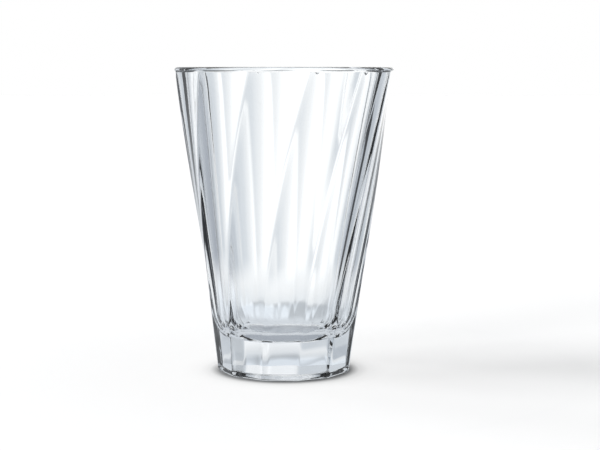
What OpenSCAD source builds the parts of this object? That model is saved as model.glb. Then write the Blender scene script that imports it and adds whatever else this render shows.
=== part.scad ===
// Latte glass: a tall tapered tumbler of clear pressed glass. Twelve flat facets climb the
// outside in a slow right-hand twist, from a thick solid base, and fade out just below a plain
// round lip. The inside is smooth and conical. The real glass is one pressing, and its base, wall
// and lip are kept here as three solids that meet face to face, without a gap.
// Units are millimetres. +Z is up, and the origin is the middle of the resting face.

/* [Overall] */
// Height from the resting face to the top of the lip
glass_h = 125.5; // [100:0.5:150]
// Outside diameter of the round lip
lip_d = 90; // [80:1:100]
// Diameter of the foot across its ridges
foot_d = 56; // [48:0.5:64]
// How the taper opens towards the lip: 1 is a straight cone, more is a flare
taper_flare = 1.06; // [1:0.01:1.3]

/* [Facets] */
// Number of facets round the outside
facet_count = 12; // [10:1:16]
// Turn of the ridges between foot and lip, in degrees
twist_deg = 32; // [0:1:45]
// How the turn gathers towards the lip: 1 is even, more turns faster near the lip
twist_gather = 1.3; // [1:0.05:2]
// Rounding radius of the ridges between the facets
ridge_r = 2.5; // [0.6:0.1:6]
// How far the facets have faded into a round where they reach the shoulder
facet_fade = 0.8; // [0:0.05:0.9]

/* [Lip] */
// Thickness of the glass at the lip
lip_t = 3.8; // [2.8:0.1:4.6]
// Height of the plain round band of the lip
lip_band_h = 2.2; // [1.8:0.1:5]
// Height of the sloping shoulder where the facets run out under the band
shoulder_h = 1.2; // [0.8:0.1:4]
// Rounding radius of the lip's inner and outer top edges
lip_edge_r = 1.3; // [0.4:0.1:1.3]

/* [Base] */
// Thickness of the glass under the inside floor
floor_t = 14.5; // [8:0.5:24]
// Thickness of the wall at the level of the floor, behind the middle of a facet
wall_foot_t = 7.5; // [4:0.1:10]
// Radius of the hollow corner between the floor and the wall
floor_corner_r = 6; // [1.5:0.5:12]
// Rounding radius of the foot's bottom edge
heel_r = 1.2; // [0.4:0.1:2.5]
// Width of the flat ring that the glass stands on, under the middle of a facet
ring_w = 3; // [2:0.5:8]
// Depth of the shallow hollow inside that ring
punt_depth = 2.2; // [0.6:0.1:4]
// Width of the sloping side of the hollow
punt_side_w = 1.5; // [0.6:0.1:4]

/* [Hidden] */
$fn = 96;
glass_colour = [0.86, 0.9, 0.93, 0.35];

// Spacing of the rings that follow the twist, and steps in the rounded edges
ring_step = 3.5;
ridge_steps = 3;
heel_steps = 4;
corner_steps = 10;
lip_edge_steps = 6;
// Length that a cutting shape runs past the face that it cuts
overrun = 1;
// How sharply the facets fade just below the lip
fade_power = 90;

foot_r = foot_d / 2;
lip_r = lip_d / 2;
pitch = 360 / facet_count;
ring_size = facet_count * (ridge_steps + 1);

// The lip starts at its sloping shoulder, and the plain band starts above that
shoulder_z = glass_h - lip_band_h - shoulder_h;
band_z = glass_h - lip_band_h;

// Share of the climb from the foot to the shoulder
function climb(z) = min(max(z, 0) / shoulder_z, 1);
// Radius through the ridges, and radius to the middle of a flat facet, at a height
function ridge_radius(z) = foot_r + (lip_r - foot_r) * pow(climb(z), taper_flare);
function facet_radius(z) = ridge_radius(z) * cos(pitch / 2);
// Rounding radius of the ridges at a height
function ridge_round(z) =
    ridge_r + (ridge_radius(z) - ridge_r) * facet_fade * pow(climb(z), fade_power);
// Turn of the ridges at a height
function turn(z) = twist_deg * pow(max(z, 0) / glass_h, twist_gather);

// The inside is a cone from the lip to the floor, with a rounded corner at the floor
bore_top_r = lip_r - lip_t;
bore_floor_r = facet_radius(floor_t) - wall_foot_t;
bore_slope = atan2(bore_top_r - bore_floor_r, glass_h - floor_t);
function bore_radius(z) = bore_floor_r + (z - floor_t) * tan(bore_slope);
// The rounded corner turns from the floor to the sloping wall
corner_turn = 90 - bore_slope;
corner_z = floor_t + floor_corner_r;
corner_x = bore_radius(corner_z) - floor_corner_r / cos(bore_slope);

// The hollow under the foot starts inside the rounded edge and the flat ring
punt_r = facet_radius(0) - heel_r - ring_w;

// The wall starts at the top of the floor's rounded corner
wall_z = corner_z;

function along(radius, angle) = radius * [cos(angle), sin(angle)];

// Arc of points about a centre, from one angle to another
function arc(centre, radius, from, to, steps) =
    [for (i = [0 : steps]) centre + along(radius, from + (to - from) * i / steps)];

// Points of one ring: a polygon with rounded ridges, turned for its height and drawn in by inset
function ring_points(z, inset) =
    let (
        crown = ridge_radius(z) + ridge_r - (inset + ridge_r) / cos(pitch / 2),
        rounding = ridge_round(z)
    )
    [for (i = [0 : facet_count - 1])
        let (facing = turn(z) + i * pitch, centre = along(crown - rounding, facing))
        for (p = arc(centre, rounding, facing - pitch / 2, facing + pitch / 2, ridge_steps))
            [p.x, p.y, z]];

// Closed twisted body through rings that are each given as [height, inset]
module ring_body(rings) {
    top = len(rings) - 1;
    polyhedron(
        points = [for (ring = rings) each ring_points(ring[0], ring[1])],
        faces = concat(
            [[for (i = [0 : ring_size - 1]) i]],
            [[for (i = [ring_size - 1 : -1 : 0]) top * ring_size + i]],
            [for (k = [0 : top - 1], i = [0 : ring_size - 1])
                let (low = k * ring_size, high = low + ring_size, next = (i + 1) % ring_size)
                each [[low + i, high + i, high + next], [low + i, high + next, low + next]]]
        )
    );
}

// Rings at even steps between two heights
function even_rings(low, high) =
    let (steps = ceil((high - low) / ring_step))
    [for (i = [0 : steps]) [low + (high - low) * i / steps, 0]];

// Rings that round the bottom edge of the foot
function heel_rings() =
    [for (i = [0 : heel_steps - 1])
        let (a = 90 * i / heel_steps)
        [heel_r * (1 - cos(a)), heel_r * (1 - sin(a))]];

// Level slice between two heights, wider than the glass
module slice(low, high) {
    translate([0, 0, low]) cylinder(r = lip_r + overrun, h = high - low);
}

// Everything inside the glass: floor, rounded corner, sloping wall and the space above the lip
module inside() {
    rotate_extrude() polygon(concat(
        [[0, floor_t]],
        arc([corner_x, corner_z], floor_corner_r, -90, -90 + corner_turn, corner_steps),
        [[bore_radius(glass_h + overrun), glass_h + overrun], [0, glass_h + overrun]]
    ));
}

// Shallow round hollow under the foot, with a sloping side and a flat roof
module punt() {
    flare = overrun * punt_side_w / punt_depth;
    translate([0, 0, -overrun])
        cylinder(r1 = punt_r + flare, r2 = punt_r - punt_side_w, h = punt_depth + overrun);
}

// Half section of the round lip: sloping shoulder, plain band and rounded top
module lip_section() {
    inner = bore_radius(shoulder_z) - overrun;
    polygon(concat(
        [[inner, shoulder_z], [facet_radius(shoulder_z), shoulder_z], [lip_r, band_z]],
        arc([lip_r - lip_edge_r, glass_h - lip_edge_r], lip_edge_r, 0, 90, lip_edge_steps),
        [[inner, glass_h]]
    ));
}

// Rounding cutter for the inner top edge of the lip
module lip_inner_edge() {
    edge_z = glass_h - lip_edge_r;
    edge_x = bore_radius(edge_z) + lip_edge_r / cos(bore_slope);
    rotate_extrude() polygon(concat(
        [[bore_radius(edge_z) - overrun, edge_z]],
        arc([edge_x, edge_z], lip_edge_r, 180 - bore_slope, 90, lip_edge_steps),
        [[edge_x, glass_h + overrun], [bore_radius(edge_z) - overrun, glass_h + overrun]]
    ));
}

// Thick solid foot with the floor and its rounded corner
module base() {
    color(glass_colour) difference() {
        intersection() {
            ring_body(concat([[-overrun, heel_r]], heel_rings(), even_rings(heel_r, wall_z + overrun)));
            slice(0, wall_z);
        }
        inside();
        punt();
    }
}

// Twisted faceted wall round the drink
module wall() {
    color(glass_colour) difference() {
        intersection() {
            ring_body(even_rings(wall_z - overrun, shoulder_z + overrun));
            slice(wall_z, shoulder_z);
        }
        inside();
    }
}

// Round lip, with the shoulder where the facets run out
module lip() {
    color(glass_colour) difference() {
        union() {
            intersection() {
                ring_body(even_rings(shoulder_z - overrun, glass_h));
                slice(shoulder_z, band_z);
            }
            rotate_extrude() lip_section();
        }
        inside();
        lip_inner_edge();
    }
}

base();
wall();
lip();
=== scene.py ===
# %% [markdown]
# # Latte glass
# A tall tumbler of clear pressed glass. Twelve flat facets climb the outside in a slow right-hand
# twist, the inside is a smooth cone, the base is thick and solid, and the lip is plain and round.
# The solids of the part are loaded first, because they fix every size. The glass is then modelled
# over them as one unbroken skin: light bends only where glass meets air, so a seam inside the
# glass would show as a mirror.

# %% Load the solids
import math

import bmesh
import bpy
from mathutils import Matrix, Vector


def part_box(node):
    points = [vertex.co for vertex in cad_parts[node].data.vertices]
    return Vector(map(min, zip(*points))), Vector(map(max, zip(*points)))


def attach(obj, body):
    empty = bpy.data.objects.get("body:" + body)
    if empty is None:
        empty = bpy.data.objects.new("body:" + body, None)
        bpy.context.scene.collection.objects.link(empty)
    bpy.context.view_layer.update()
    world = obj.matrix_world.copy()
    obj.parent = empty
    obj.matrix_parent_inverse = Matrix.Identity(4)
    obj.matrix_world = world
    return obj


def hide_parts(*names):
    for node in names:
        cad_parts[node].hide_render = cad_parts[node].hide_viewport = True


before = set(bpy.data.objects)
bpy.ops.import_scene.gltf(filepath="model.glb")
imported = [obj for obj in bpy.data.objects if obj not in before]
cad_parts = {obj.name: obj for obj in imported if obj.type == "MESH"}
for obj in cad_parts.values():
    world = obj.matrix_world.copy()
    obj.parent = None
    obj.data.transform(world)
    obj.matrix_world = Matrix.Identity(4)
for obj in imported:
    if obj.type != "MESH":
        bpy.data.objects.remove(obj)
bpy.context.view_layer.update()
lip_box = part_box("lip")

# %% [markdown]
# ## The sizes that shape the glass
# The heights and the lip's width come from the solids, less a thousandth of a millimetre, so that
# the skin stays inside them. The foot, the twist and the cone of the inside are the sizes that the
# solids were built with, in metres and degrees. Two differ here: the flats run a little closer to
# the lip, and the corner at the inside floor is rounder. The rounding of the ridges is given by how
# much it cuts off each side of a corner at the foot, and it grows with the taper.

# %% Sizes
clearance = 0.000001
glass_h = lip_box[1].z - clearance
shoulder_z = lip_box[0].z
lip_r = min(abs(side) for corner in lip_box for side in (corner.x, corner.y)) - clearance
foot_r = 0.028
taper_flare = 1.06
facet_count = 12
twist = math.radians(32)
twist_gather = 1.3
ridge_cut = 0.0006
facet_fade = 0.2
fade_power = 90
flat_end = glass_h - 0.0021
lip_t = 0.0038
lip_edge_r = 0.0013
floor_t = 0.0145
wall_foot_t = 0.0075
floor_corner_r = 0.012
heel_r = 0.0012
standing_ring_w = 0.003
punt_depth = 0.0022
punt_side_w = 0.0015
print("height", round(glass_h, 4), "lip radius", round(lip_r, 5), "foot radius", foot_r)

# %% [markdown]
# ## How the sizes change with height
# The outside widens from the foot to the lip in a slight flare, and turns faster near the lip. The
# inside is a straight cone. Three short functions give the radius through the ridges, the turn and
# the radius of the inside at any height, so that every later step agrees with the others.

# %% Sizes at a height


def climb(z):
    return min(z / shoulder_z, 1)


def ridge_radius(z):
    return foot_r + (lip_r - foot_r) * climb(z) ** taper_flare


def turn_at(z):
    return twist * (z / glass_h) ** twist_gather


half_facet = math.pi / facet_count
bore_top_r = lip_r - lip_t
bore_floor_r = ridge_radius(floor_t) * math.cos(half_facet) - wall_foot_t
bore_tan = (bore_top_r - bore_floor_r) / (glass_h - floor_t)
bore_slope = math.atan(bore_tan)


def bore_radius(z):
    return bore_floor_r + (z - floor_t) * bore_tan


print("inside radius at the floor", round(bore_floor_r, 5), "at the lip", round(bore_top_r, 5))

# %% [markdown]
# ## The outline of the foot
# A circle of twelve points is the foot's outline. Bevelling its points rounds the ridges, and
# cutting the long sides into short ones gives the mesh enough points to become round further up,
# at the lip. It could be drawn as a curve too, but a filled circle can be pulled straight up.

# %% Foot outline
ridge_segments = 2
side_cuts = 12
shortest_side = 0.004
bpy.ops.object.select_all(action="DESELECT")
bpy.ops.mesh.primitive_circle_add(
    vertices=facet_count, radius=foot_r - heel_r, fill_type="NGON", location=(0, 0, 0))
glass = bpy.context.object
glass.name = "latte_glass"
glass.data.name = "latte_glass"
bpy.ops.object.mode_set(mode="EDIT")
bpy.ops.mesh.select_mode(type="VERT")
bpy.ops.mesh.select_all(action="SELECT")
bpy.ops.mesh.bevel(
    offset=ridge_cut, offset_type="OFFSET", segments=ridge_segments, affect="VERTICES")


def glass_mesh():
    return bmesh.from_edit_mesh(glass.data)


def show_selection():
    bmesh.update_edit_mesh(glass.data)


bpy.ops.mesh.select_all(action="DESELECT")
bpy.ops.mesh.select_mode(type="EDGE")
bm = glass_mesh()
for edge in bm.edges:
    edge.select_set(edge.calc_length() > shortest_side)
show_selection()
bpy.ops.mesh.subdivide(number_cuts=side_cuts)
print("points in the outline:", len(glass_mesh().verts))

# %% [markdown]
# ## Pulling up the twisted wall
# The mould turns slowly as the wall climbs. So the outline is pulled up one ring at a time: each
# step lifts the top face, widens it for the taper and turns it a little. The first few rings round
# the bottom edge. A twist modifier would turn evenly, and this glass turns faster near the lip.

# %% Twisted outside
heel_steps = 5
wall_steps = 60
fade_start = 56
ring = {"height": 0.0, "radius": foot_r - heel_r, "turn": 0.0}


def pull_ring(height, radius, turn):
    lift = (0, 0, height - ring["height"])
    bpy.ops.mesh.extrude_region_move(TRANSFORM_OT_translate={"value": lift})
    grow = radius / ring["radius"]
    bpy.ops.transform.resize(value=(grow, grow, 1), center_override=(0, 0, height))
    if turn != ring["turn"]:
        bpy.ops.transform.rotate(
            value=ring["turn"] - turn, orient_axis="Z", center_override=(0, 0, height))
    ring.update(height=height, radius=radius, turn=turn)


def wall_height(step):
    return heel_r + (flat_end - heel_r) * step / wall_steps


bpy.ops.mesh.select_mode(type="FACE")
bpy.ops.mesh.select_all(action="SELECT")
for step in range(1, heel_steps + 1):
    a = math.radians(90 * step / heel_steps)
    z = heel_r * (1 - math.cos(a))
    pull_ring(z, ridge_radius(z) - heel_r * (1 - math.sin(a)), turn_at(z))
for step in range(1, fade_start + 1):
    z = wall_height(step)
    pull_ring(z, ridge_radius(z), turn_at(z))
print("rings up to", round(ring["height"], 4), "turned", round(math.degrees(ring["turn"]), 2))

# %% [markdown]
# ## Letting the facets fade
# In the last few millimetres below the lip the flats grow a little rounder, so that they end
# without a hard step. The To Sphere tool draws the points of a ring towards a circle. Each ring
# goes a little further than the one below it, and is then scaled so that its ridges stay on the
# taper.

# %% Fading facets


def ring_radii():
    return [math.hypot(v.co.x, v.co.y) for v in glass_mesh().verts if v.select]


faded = 0.0
for step in range(fade_start + 1, wall_steps + 1):
    z = wall_height(step)
    pull_ring(z, ridge_radius(z), turn_at(z))
    crown = max(ring_radii())
    fade = facet_fade * (z / flat_end) ** fade_power
    bpy.ops.transform.tosphere(value=1 - (1 - fade) / (1 - faded))
    grow = crown / max(ring_radii())
    bpy.ops.transform.resize(value=(grow, grow, 1), center_override=(0, 0, z))
    faded = fade
radii = ring_radii()
print("where the flats end: ridges at", round(max(radii), 5), "facets at", round(min(radii), 5))

# %% [markdown]
# ## The shoulder and the lip
# Just under the lip the last of the flats runs out into a round band, over four rings. The lip
# itself is a small round bead, made of rings that follow a quarter circle up and another one down.

# %% Shoulder and lip
shoulder_rings = ((0.3, 0.3), (0.6, 0.45), (0.85, 0.6), (1, 1.0))
outer_steps = 6
inner_steps = 7
edge_z = glass_h - lip_edge_r


def ring_mean_radius():
    radii = ring_radii()
    return sum(radii) / len(radii)


start_mean = ring_mean_radius()
for share, roundness in shoulder_rings:
    z = flat_end + (edge_z - flat_end) * share
    pull_ring(z, ring["radius"], ring["turn"])
    bpy.ops.transform.tosphere(value=roundness)
    wanted = start_mean + (lip_r - start_mean) * share
    grow = wanted / ring_mean_radius()
    bpy.ops.transform.resize(value=(grow, grow, 1), center_override=(0, 0, z))
    ring["radius"] = wanted


def pull_bead(middle_x, a):
    height = edge_z + lip_edge_r * math.sin(a)
    pull_ring(height, middle_x + lip_edge_r * math.cos(a), ring["turn"])


for step in range(1, outer_steps + 1):
    pull_bead(lip_r - lip_edge_r, math.radians(90 * step / outer_steps))
inner_x = bore_radius(edge_z) + lip_edge_r / math.cos(bore_slope)
for step in range(inner_steps + 1):
    pull_bead(inner_x, math.radians(90) + (math.radians(90) - bore_slope) * step / inner_steps)
print("lip from", round(edge_z, 4), "to", round(glass_h, 4), "inner edge", round(ring["radius"], 5))

# %% [markdown]
# ## The inside
# The plunger that presses the glass is a smooth cone with a rounded end. From the lip, the same
# face now goes down instead of up: straight down the cone, round the corner at the floor, and
# across the flat floor. Nothing turns here, because the inside is round.

# %% Inside
bore_steps = 30
corner_steps = 12
floor_shares = (0.97, 0.66, 0.33, 0.06)
corner_z = floor_t + floor_corner_r
corner_x = bore_radius(corner_z) - floor_corner_r / math.cos(bore_slope)
low_z = corner_z - floor_corner_r * math.sin(bore_slope)
top_z = ring["height"]
for step in range(1, bore_steps + 1):
    z = top_z + (low_z - top_z) * step / bore_steps
    pull_ring(z, bore_radius(z), ring["turn"])
for step in range(1, corner_steps + 1):
    a = -bore_slope - (math.radians(90) - bore_slope) * step / corner_steps
    height = corner_z + floor_corner_r * math.sin(a)
    pull_ring(height, corner_x + floor_corner_r * math.cos(a), ring["turn"])
for share in floor_shares:
    pull_ring(floor_t, corner_x * share, ring["turn"])
print("floor at", round(ring["height"], 5), "flat to radius", round(corner_x, 5))

# %% [markdown]
# ## The hollow under the foot
# The glass stands on a narrow flat ring, and inside it the foot is hollowed a little so that it
# doesn't rock. The bottom face is picked by its normal, drawn in to a circle, and pushed up along
# a sloping side with a rounded corner to a flat roof.

# %% Hollow under the foot
facing_down = -0.99
bpy.ops.mesh.select_all(action="DESELECT")
bm = glass_mesh()
for face in bm.faces:
    at_bottom = abs(face.calc_center_median().z) < clearance
    face.select_set(at_bottom and face.normal.z < facing_down)
show_selection()
punt_r = foot_r * math.cos(half_facet) - heel_r - standing_ring_w
roof_r = punt_r - punt_side_w
ring.update(height=0.0, radius=ring_mean_radius(), turn=0.0)
pull_ring(0.0, punt_r * 1.03, 0.0)
bpy.ops.transform.tosphere(value=1.0)
ring["radius"] = ring_mean_radius()
# Height and radius of each ring: the soft lower edge, the sloping side, then the roof
hollow_rings = (
    (0.0, punt_r + 0.0003), (0.0001, punt_r),
    (punt_depth * 0.35, punt_r - punt_side_w * 0.35),
    (punt_depth * 0.65, punt_r - punt_side_w * 0.65),
    (punt_depth * 0.85, roof_r + punt_side_w * 0.12),
    (punt_depth * 0.96, roof_r - 0.0003),
    (punt_depth, roof_r - 0.001), (punt_depth, roof_r - 0.002),
    (punt_depth, roof_r * 0.6), (punt_depth, roof_r * 0.3), (punt_depth, roof_r * 0.05))
for height, radius in hollow_rings:
    pull_ring(height, radius, 0.0)
print("hollow is", round(ring["height"], 5), "deep and", round(2 * punt_r, 5), "wide")

# %% [markdown]
# ## Finishing the skin
# A press leaves true flats with small, soft ridges between them. Smooth shading alone would round
# the flats a little, so the normals are weighted by the size of the faces: the wide flats stay
# flat, and only the narrow ridges turn the light. The finished skin is checked for open edges.

# %% Finish the skin
sharp_angle = math.radians(35)
bpy.ops.mesh.select_all(action="DESELECT")
bpy.ops.object.mode_set(mode="OBJECT")
bpy.ops.object.shade_smooth_by_angle(angle=sharp_angle)
bpy.ops.object.modifier_add(type="WEIGHTED_NORMAL")
weighting = glass.modifiers[0]
weighting.weight = 100
weighting.keep_sharp = True
bpy.ops.object.modifier_apply(modifier=weighting.name)
measure = bmesh.new()
measure.from_mesh(glass.data)
open_edges = sum(1 for e in measure.edges if not e.is_manifold)
print("faces", len(measure.faces), "open edges", open_edges, "glass volume in ml",
      round(measure.calc_volume(signed=True) * 1e6, 2))
measure.free()
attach(glass, "root")
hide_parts("base", "wall", "lip")

# %% [markdown]
# ## Helpers for the materials
# The glass, the floor and the world are all built from a few kinds of nodes. One helper adds a
# node with its settings, one joins two nodes, and one gives a colour ramp its stops. They keep the
# steps below short.

# %% Helpers for the materials


def add_node(tree, kind, settings=None, inputs=None):
    node = tree.nodes.new("ShaderNode" + kind)
    for name, value in (settings or {}).items():
        setattr(node, name, value)
    for name, value in (inputs or {}).items():
        node.inputs[name].default_value = value
    return node


def join(tree, source, output, target, socket):
    tree.links.new(source.outputs[output], target.inputs[socket])


def set_stops(ramp, stops):
    elements = ramp.color_ramp.elements
    elements[0].position, elements[0].color = stops[0]
    elements[1].position, elements[1].color = stops[-1]
    for place, colour in stops[1:-1]:
        elements.new(place).color = colour


def grey(value):
    return (value, value, value, 1)


def cool(tone):
    dark = max(1 - tone, 0)
    red = tone * (1 - 0.24 * dark + 0.15 * dark * dark)
    return (red, tone * (1 - 0.03 * dark), tone * (1 + 0.16 * dark), 1)


print("a middle tone is slightly cool:", tuple(round(v, 3) for v in cool(0.5)))

# %% [markdown]
# ## Clear pressed glass
# Soda-lime glass bends light with an index of about 1.51. A thin wall is almost without colour, and
# a faint cool grey builds up with depth, which shows in the base. The pressing leaves the surface
# very slightly wavy, and polishing it in the flame leaves it almost, not perfectly, even. Both are
# made from noise fixed to the object: one slow wave in the bump, and a faint change in the
# roughness.

# %% Glass material
clear_glass = bpy.data.materials.new("clear_pressed_glass")
clear_glass.use_nodes = True
tree = clear_glass.node_tree
shader = tree.nodes["Principled BSDF"]
shader.inputs["Base Color"].default_value = (0.985, 0.995, 1, 1)
shader.inputs["Transmission Weight"].default_value = 1.0
shader.inputs["IOR"].default_value = 1.51
place = add_node(tree, "TexCoord")
wave = add_node(tree, "TexNoise", inputs={"Scale": 70, "Detail": 1})
wavy = add_node(tree, "Bump", inputs={"Strength": 0.25, "Distance": 0.00012})
join(tree, place, "Object", wave, "Vector")
join(tree, wave, "Fac", wavy, "Height")
join(tree, wavy, "Normal", shader, "Normal")
polish = add_node(tree, "TexNoise", inputs={"Scale": 260, "Detail": 3})
evenness = add_node(tree, "MapRange", inputs={"To Min": 0.0, "To Max": 0.018})
join(tree, place, "Object", polish, "Vector")
join(tree, polish, "Fac", evenness, "Value")
join(tree, evenness, "Result", shader, "Roughness")
depth = add_node(
    tree, "VolumeAbsorption", inputs={"Color": (0.72, 0.75, 0.78, 1), "Density": 14})
join(tree, depth, "Volume", tree.nodes["Material Output"], "Volume")
glass.data.materials.append(clear_glass)
print("glass material with", len(tree.nodes), "nodes")

# %% [markdown]
# ## What the glass sees
# Clear glass has no look of its own: it shows its surroundings, bent by every facet. A glass is
# photographed with a white sheet straight behind it, which keeps it clear, paler and darker
# surfaces to the sides, which draw the facets, and something dark at each side, which draws the
# edges. Here that round of tones is one colour ramp, read by the direction on the compass, in
# degrees to the right of where the camera looks. The floor and the world both use it, so the group
# of nodes is made once.

# %% Round of tones
camera_turn = math.radians(-10.4)
tones = (
    (-180, 1.00), (-150, 0.84), (-120, 1.05), (-100, 0.68), (-86, 0.50), (-72, 0.43), (-62, 0.46),
    (-52, 0.50), (-42, 0.58), (-30, 0.60), (-23, 0.72), (-14, 0.78), (-4, 0.96), (4, 1.24),
    (16, 1.10), (21, 0.90), (26, 0.74), (36, 0.72), (46, 0.56), (56, 0.56), (65, 0.50), (74, 0.44),
    (82, 0.44), (92, 0.50), (105, 0.66), (125, 0.88), (150, 1.00), (180, 1.00))
round_tones = bpy.data.node_groups.new("round_of_tones", "ShaderNodeTree")
round_tones.interface.new_socket("Direction", in_out="INPUT", socket_type="NodeSocketVector")
round_tones.interface.new_socket("Tone", in_out="OUTPUT", socket_type="NodeSocketColor")
tree = round_tones
start = tree.nodes.new("NodeGroupInput")
end = tree.nodes.new("NodeGroupOutput")
turned = add_node(
    tree, "VectorRotate", {"rotation_type": "Z_AXIS"}, {"Angle": -(math.pi / 2 + camera_turn)})
split = add_node(tree, "SeparateXYZ")
compass = add_node(tree, "Math", {"operation": "ARCTAN2"})
full_turn = add_node(
    tree, "Math", {"operation": "MULTIPLY_ADD"}, {1: -1 / (2 * math.pi), 2: 0.5})
ramp = add_node(tree, "ValToRGB")
set_stops(ramp, [((angle + 180) / 360, cool(tone)) for angle, tone in tones])
join(tree, start, "Direction", turned, "Vector")
join(tree, turned, "Vector", split, "Vector")
join(tree, split, "Y", compass, 0)
join(tree, split, "X", compass, 1)
join(tree, compass, "Value", full_turn, 0)
join(tree, full_turn, "Value", ramp, "Fac")
join(tree, ramp, "Color", end, "Tone")
print("tones round the glass:", len(ramp.color_ramp.elements))

# %% [markdown]
# ## The floor
# A plain pale floor, wide enough to reach the horizon. The camera sees it as matt white paper, lit
# by the lamps and the world, with the soft shadow of the glass. Near the foot part of it is a
# painted white glow, which the shadow doesn't reach. How much of each there is follows in the next
# step.

# %% Floor
floor_radius = 6
bpy.ops.mesh.primitive_circle_add(
    vertices=128, radius=floor_radius, fill_type="NGON", location=(0, 0, 0))
floor = bpy.context.object
floor.name = "studio_floor"
floor_paint = bpy.data.materials.new("white_floor")
floor_paint.use_nodes = True
tree = floor_paint.node_tree
paint = tree.nodes["Principled BSDF"]
paint.inputs["Roughness"].default_value = 1.0
paint.inputs["Specular IOR Level"].default_value = 0.0
# The emission is a painted white glow, shown only near the foot, where it lightens the shadow.
white = add_node(tree, "Emission", inputs={"Strength": 0.996})
seen = add_node(tree, "MixShader")
join(tree, paint, "BSDF", seen, 1)
join(tree, white, "Emission", seen, 2)
where = add_node(tree, "TexCoord")
distance = add_node(tree, "VectorMath", {"operation": "LENGTH"})
join(tree, where, "Object", distance, 0)
print("floor reaches", floor_radius, "m from the glass")

# %% [markdown]
# ## The painted rim of shadow round the foot
# Under the foot the floor is painted dark, and a narrow soft rim of that painted shade shows all
# round the foot, most of all in front. Close to the foot the floor also glows most with its painted
# white, so that the shadow is as pale there as it is further off. Both are read by the distance
# from the middle.

# %% Painted rim round the foot
rim_shift = 0.002
rim_rise = (
    (0.0266, 0), (0.0285, 0.3), (0.029, 0.42), (0.0314, 0.7), (0.036, 0.92), (0.042, 1))
to_camera = (math.sin(camera_turn), -math.cos(camera_turn))
rim_middle = (rim_shift * to_camera[0], rim_shift * to_camera[1], 0)
rim_place = add_node(tree, "VectorMath", {"operation": "SUBTRACT"}, {1: rim_middle})
rim_distance = add_node(tree, "VectorMath", {"operation": "LENGTH"})
# Painted shade: this ramp darkens the paper and takes away its glow under and round the foot.
rim = add_node(tree, "ValToRGB")
set_stops(rim, [(reach, grey(value)) for reach, value in rim_rise])
join(tree, where, "Object", rim_place, 0)
join(tree, rim_place, "Vector", rim_distance, 0)
join(tree, rim_distance, "Value", rim, "Fac")
# Painted light: the floor glows most close to the foot and not at all beyond 12.5 cm, so the shadow
# is paler there.
painted_glow_fade = add_node(tree, "MapRange", inputs={
    "From Min": 0.035, "From Max": 0.125, "To Min": 0.78, "To Max": 0.0})
painted_white_share = add_node(tree, "Math", {"operation": "MULTIPLY"})
join(tree, distance, "Value", painted_glow_fade, "Value")
join(tree, rim, "Color", painted_white_share, 0)
join(tree, painted_glow_fade, "Result", painted_white_share, 1)
join(tree, painted_white_share, "Value", seen, "Fac")
# Colour A is painted shade under and round the foot; B is the paper's own grey.
paper_with_painted_rim = add_node(
    tree, "Mix", {"data_type": "RGBA"}, {"A": (0.1, 0.104, 0.108, 1), "B": grey(0.673)})
join(tree, rim, "Color", paper_with_painted_rim, "Factor")
join(tree, paper_with_painted_rim, "Result", paint, "Base Color")
print("the rim ends", round(rim_rise[-1][0] * 1000), "mm from the middle")

# %% [markdown]
# ## The floor close to the glass
# From here on the floor gets a second look, which is seen only through the glass. Under the foot
# little light gets in, so the floor there is painted grey, and that is what the thick base shows.
# Outside the foot this painted shade lifts step by step. The ramp is read by the distance from the
# middle, over 30 cm.

# %% Floor tones near the glass
near_reach = 0.3
# Painted shade of the glass on the floor, seen only through the glass.
near_tones = (
    (0.0, 0.40), (0.065, 0.42), (0.08, 0.74), (0.2, 0.70), (0.3, 0.69), (0.42, 0.88),
    (0.55, 0.98), (0.75, 1.08), (1.0, 1.12))
near_share = add_node(tree, "Math", {"operation": "DIVIDE"}, {1: near_reach})
near = add_node(tree, "ValToRGB")
set_stops(near, [(share, cool(tone)) for share, tone in near_tones])
join(tree, distance, "Value", near_share, 0)
join(tree, near_share, "Value", near, "Fac")
print("tones near the glass:", len(near_tones), "over", round(near_reach * 100), "cm")

# %% [markdown]
# ## Streaks of light round the foot
# Every facet gathers some of the lamps' light and throws it on the floor, so the foot of a cut or
# pressed glass stands in a ring of bright and dark streaks. Seen through the lower wall they turn
# into small drops of light just above the inside floor. Here they are noise, read by the direction
# from the middle, so that it makes spokes.

# %% Streaks on the floor
streak_window = ((0.13, 0), (0.17, 1), (0.34, 1), (0.46, 0))
heading = add_node(tree, "VectorMath", {"operation": "NORMALIZE"})
outward = add_node(tree, "VectorMath", {"operation": "MULTIPLY_ADD"}, {1: (3, 3, 3)})
spokes = add_node(
    tree, "TexNoise", {"noise_dimensions": "4D"}, {"W": 2.7, "Scale": 2.8, "Detail": 1})
contrast = add_node(tree, "MapRange", inputs={
    "From Min": 0.42, "From Max": 0.58, "To Min": -0.24, "To Max": 0.34})
fringe = add_node(tree, "ValToRGB")
set_stops(fringe, [(share, grey(value)) for share, value in streak_window])
streak = add_node(tree, "Math", {"operation": "MULTIPLY"})
lift = add_node(tree, "Math", {"operation": "ADD"}, {1: 1.0})
streaked = add_node(tree, "VectorMath", {"operation": "SCALE"})
join(tree, where, "Object", heading, 0)
join(tree, where, "Object", outward, 0)
join(tree, heading, "Vector", outward, 2)
join(tree, outward, "Vector", spokes, "Vector")
join(tree, spokes, "Fac", contrast, "Value")
join(tree, near_share, "Value", fringe, "Fac")
join(tree, contrast, "Result", streak, 0)
join(tree, fringe, "Color", streak, 1)
join(tree, streak, "Value", lift, 0)
join(tree, near, "Color", streaked, 0)
join(tree, lift, "Value", streaked, "Scale")
print("streaks start", round(streak_window[0][0] * near_reach * 1000), "mm from the middle")

# %% [markdown]
# ## The floor further off
# Beyond a small oval the floor takes up the round of tones. Far away it grows paler all round, so
# that the glass stays clear when it is seen from another side.

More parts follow.
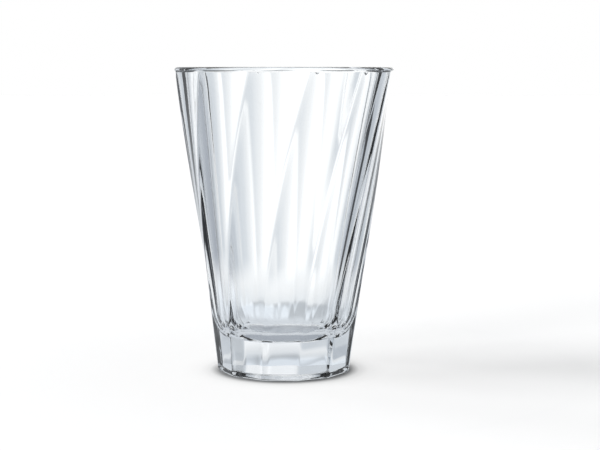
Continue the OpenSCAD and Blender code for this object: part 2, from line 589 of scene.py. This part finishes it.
# %% Floor tones further off
far_pale = cool(0.76)
near_oval = (0.125, 0.22, 1)
aligned = add_node(tree, "VectorRotate", {"rotation_type": "Z_AXIS"}, {"Angle": -camera_turn})
oval = add_node(tree, "VectorMath", {"operation": "DIVIDE"}, {1: near_oval})
reach = add_node(tree, "VectorMath", {"operation": "LENGTH"})
away = add_node(
    tree, "MapRange", {"interpolation_type": "SMOOTHSTEP"}, {"From Min": 0.8, "From Max": 1.2})
join(tree, where, "Object", aligned, "Vector")
join(tree, aligned, "Vector", oval, 0)
join(tree, oval, "Vector", reach, 0)
join(tree, reach, "Value", away, "Value")
compass_tone = add_node(tree, "Group", {"node_tree": round_tones})
far_off = add_node(
    tree, "MapRange", {"interpolation_type": "SMOOTHSTEP"}, {"From Min": 0.55, "From Max": 1.2})
far_tone = add_node(tree, "Mix", {"data_type": "RGBA", "blend_type": "LIGHTEN"}, {"B": far_pale})
join(tree, where, "Object", compass_tone, "Direction")
join(tree, distance, "Value", far_off, "Value")
join(tree, far_off, "Result", far_tone, "Factor")
join(tree, compass_tone, "Tone", far_tone, "A")
floor_tone = add_node(tree, "Mix", {"data_type": "RGBA"})
join(tree, away, "Result", floor_tone, "Factor")
join(tree, streaked, "Vector", floor_tone, "A")
join(tree, far_tone, "Result", floor_tone, "B")
print("the round of tones starts beyond an oval of", near_oval[0], "by", near_oval[1], "m")

# %% [markdown]
# ## A dark card
# A strip of black card, lying on the floor to the right behind the glass, draws the one bold line
# that follows the right-hand ridges. It starts clear of the foot and ends well before the far
# floor. It could be a real strip of mesh, but painted into the floor's tone it is seen only through
# the glass, and the floor itself stays plain.

# %% Dark card at the right
card_start = (0.0234, -0.036, 0)
card_turn = math.radians(57)
card_core = math.radians(3)
card_edge = math.radians(5.5)
card_reach = ((0.085, 0), (0.12, 1), (0.48, 1), (0.72, 0))
from_start = add_node(tree, "VectorMath", {"operation": "SUBTRACT"}, {1: card_start})
bearing = add_node(tree, "VectorMath", {"operation": "NORMALIZE"})
along_card = add_node(
    tree, "VectorMath", {"operation": "DOT_PRODUCT"},
    {1: (math.sin(card_turn), math.cos(card_turn), 0)})
on_card = add_node(
    tree, "MapRange", {"interpolation_type": "SMOOTHSTEP"},
    {"From Min": math.cos(card_edge), "From Max": math.cos(card_core)})
card_length = add_node(tree, "ValToRGB")
set_stops(card_length, [(reach_m, grey(value)) for reach_m, value in card_reach])
card_share = add_node(tree, "Math", {"operation": "MULTIPLY"})
carded = add_node(tree, "Mix", {"data_type": "RGBA"}, {"B": cool(0.01)})
join(tree, aligned, "Vector", from_start, 0)
join(tree, from_start, "Vector", bearing, 0)
join(tree, bearing, "Vector", along_card, 0)
join(tree, along_card, "Value", on_card, "Value")
join(tree, distance, "Value", card_length, "Fac")
join(tree, on_card, "Result", card_share, 0)
join(tree, card_length, "Color", card_share, 1)
join(tree, card_share, "Value", carded, "Factor")
join(tree, floor_tone, "Result", carded, "A")
print("the card lies", round(math.degrees(card_turn)), "degrees to the right")

# %% [markdown]
# ## Two looks of one floor
# The camera sees the white paper with the shadow, the painted rim and the painted glow. Light that
# comes through the glass, or off it, sees the tones instead. The kind of light path chooses between
# the two.

# %% Choose the floor's look
shown = add_node(tree, "Emission")
rays = add_node(tree, "LightPath")
through = add_node(tree, "Math", {"operation": "MAXIMUM"})
choose = add_node(tree, "MixShader")
join(tree, carded, "Result", shown, "Color")
join(tree, rays, "Is Glossy Ray", through, 0)
join(tree, rays, "Is Transmission Ray", through, 1)
join(tree, through, "Value", choose, "Fac")
join(tree, seen, "Shader", choose, 1)
join(tree, shown, "Emission", choose, 2)
join(tree, choose, "Shader", tree.nodes["Material Output"], "Surface")
floor.data.materials.append(floor_paint)
print("floor material with", len(tree.nodes), "nodes")

# %% [markdown]
# ## The world
# Round the glass the world carries the same tones as the far floor. Higher up it is one even, pale
# tone, like a white ceiling. The camera itself sees plain white behind the glass.

# %% World
world = bpy.data.worlds.new("white_studio")
bpy.context.scene.world = world
world.use_nodes = True
tree = world.node_tree
sky = tree.nodes["Background"]
sky.inputs["Strength"].default_value = 1.0
direction = add_node(tree, "TexCoord")
compass_tone = add_node(tree, "Group", {"node_tree": round_tones})
pale_round = add_node(
    tree, "Mix", {"data_type": "RGBA", "blend_type": "LIGHTEN"}, {"Factor": 1.0, "B": far_pale})
split = add_node(tree, "SeparateXYZ")
ceiling = add_node(
    tree, "MapRange", {"interpolation_type": "SMOOTHSTEP"}, {"From Min": 0.42, "From Max": 0.68})
upper = add_node(tree, "Mix", {"data_type": "RGBA"}, {"B": cool(1.0)})
rays = add_node(tree, "LightPath")
backdrop = add_node(tree, "Mix", {"data_type": "RGBA"}, {"B": grey(1)})
join(tree, direction, "Generated", compass_tone, "Direction")
join(tree, compass_tone, "Tone", pale_round, "A")
join(tree, direction, "Generated", split, "Vector")
join(tree, split, "Z", ceiling, "Value")
join(tree, ceiling, "Result", upper, "Factor")
join(tree, pale_round, "Result", upper, "A")
join(tree, rays, "Is Camera Ray", backdrop, "Factor")
join(tree, upper, "Result", backdrop, "A")
join(tree, backdrop, "Result", sky, "Color")
print("world with", len(tree.nodes), "nodes")

# %% [markdown]
# ## The lamps
# A long low light at the left throws a soft grey band of shadow to the right. It is made of four
# broad lamps in a fan: the two in the middle draw the band, and the two outer ones make it wide and
# soft close to the glass. They light the whole floor evenly, as lamps do that are far away, so
# only their direction counts. They aren't seen in the glass, which shows only the round of tones.

# %% Lamps
lamp_height = math.radians(14)
lamp_width = math.radians(22)
lamp_fan = ((-42, 1.16), (-9, 2.6), (9, 2.6), (42, 1.16))
for number, (side, strength) in enumerate(lamp_fan, start=1):
    bpy.ops.object.light_add(type="SUN", location=(-1.0, side / 60, 0.3))
    lamp = bpy.context.object
    lamp.name = "soft_lamp_" + str(number)
    lamp.data.energy = strength
    lamp.data.angle = lamp_width
    lamp.rotation_euler = (
        0, -(math.pi / 2 - lamp_height), camera_turn - math.radians(side))
    lamp.visible_glossy = False
    lamp.visible_transmission = False
print("lamps:", len(lamp_fan), "at", round(math.degrees(lamp_height)), "degrees above the floor")

# %% [markdown]
# ## The camera
# The camera stands level with the lip, a little to the left, and looks slightly down: the far edge
# and the near edge of the lip fall on one line. Its distance follows from how much the foot's
# outline curves. The focal length is given in pixels of a picture 600 pixels wide.

# %% Camera
picture_px = 600
focal_px = 1494
camera_back = 0.617
camera_pan = math.radians(0.603)
camera_pitch = math.atan(158 / focal_px)
bpy.ops.object.camera_add()
camera = bpy.context.object
camera.name = "photo_camera"
camera.data.sensor_width = 36
camera.data.lens = camera.data.sensor_width * focal_px / picture_px
camera.location = (camera_back * to_camera[0], camera_back * to_camera[1], glass_h)
camera.rotation_euler = (math.pi / 2 - camera_pitch, 0, camera_turn - camera_pan)
bpy.context.scene.camera = camera
bpy.context.scene.view_settings.view_transform = "Standard"
print("camera", tuple(round(v, 4) for v in camera.location), "lens", round(camera.data.lens, 2))
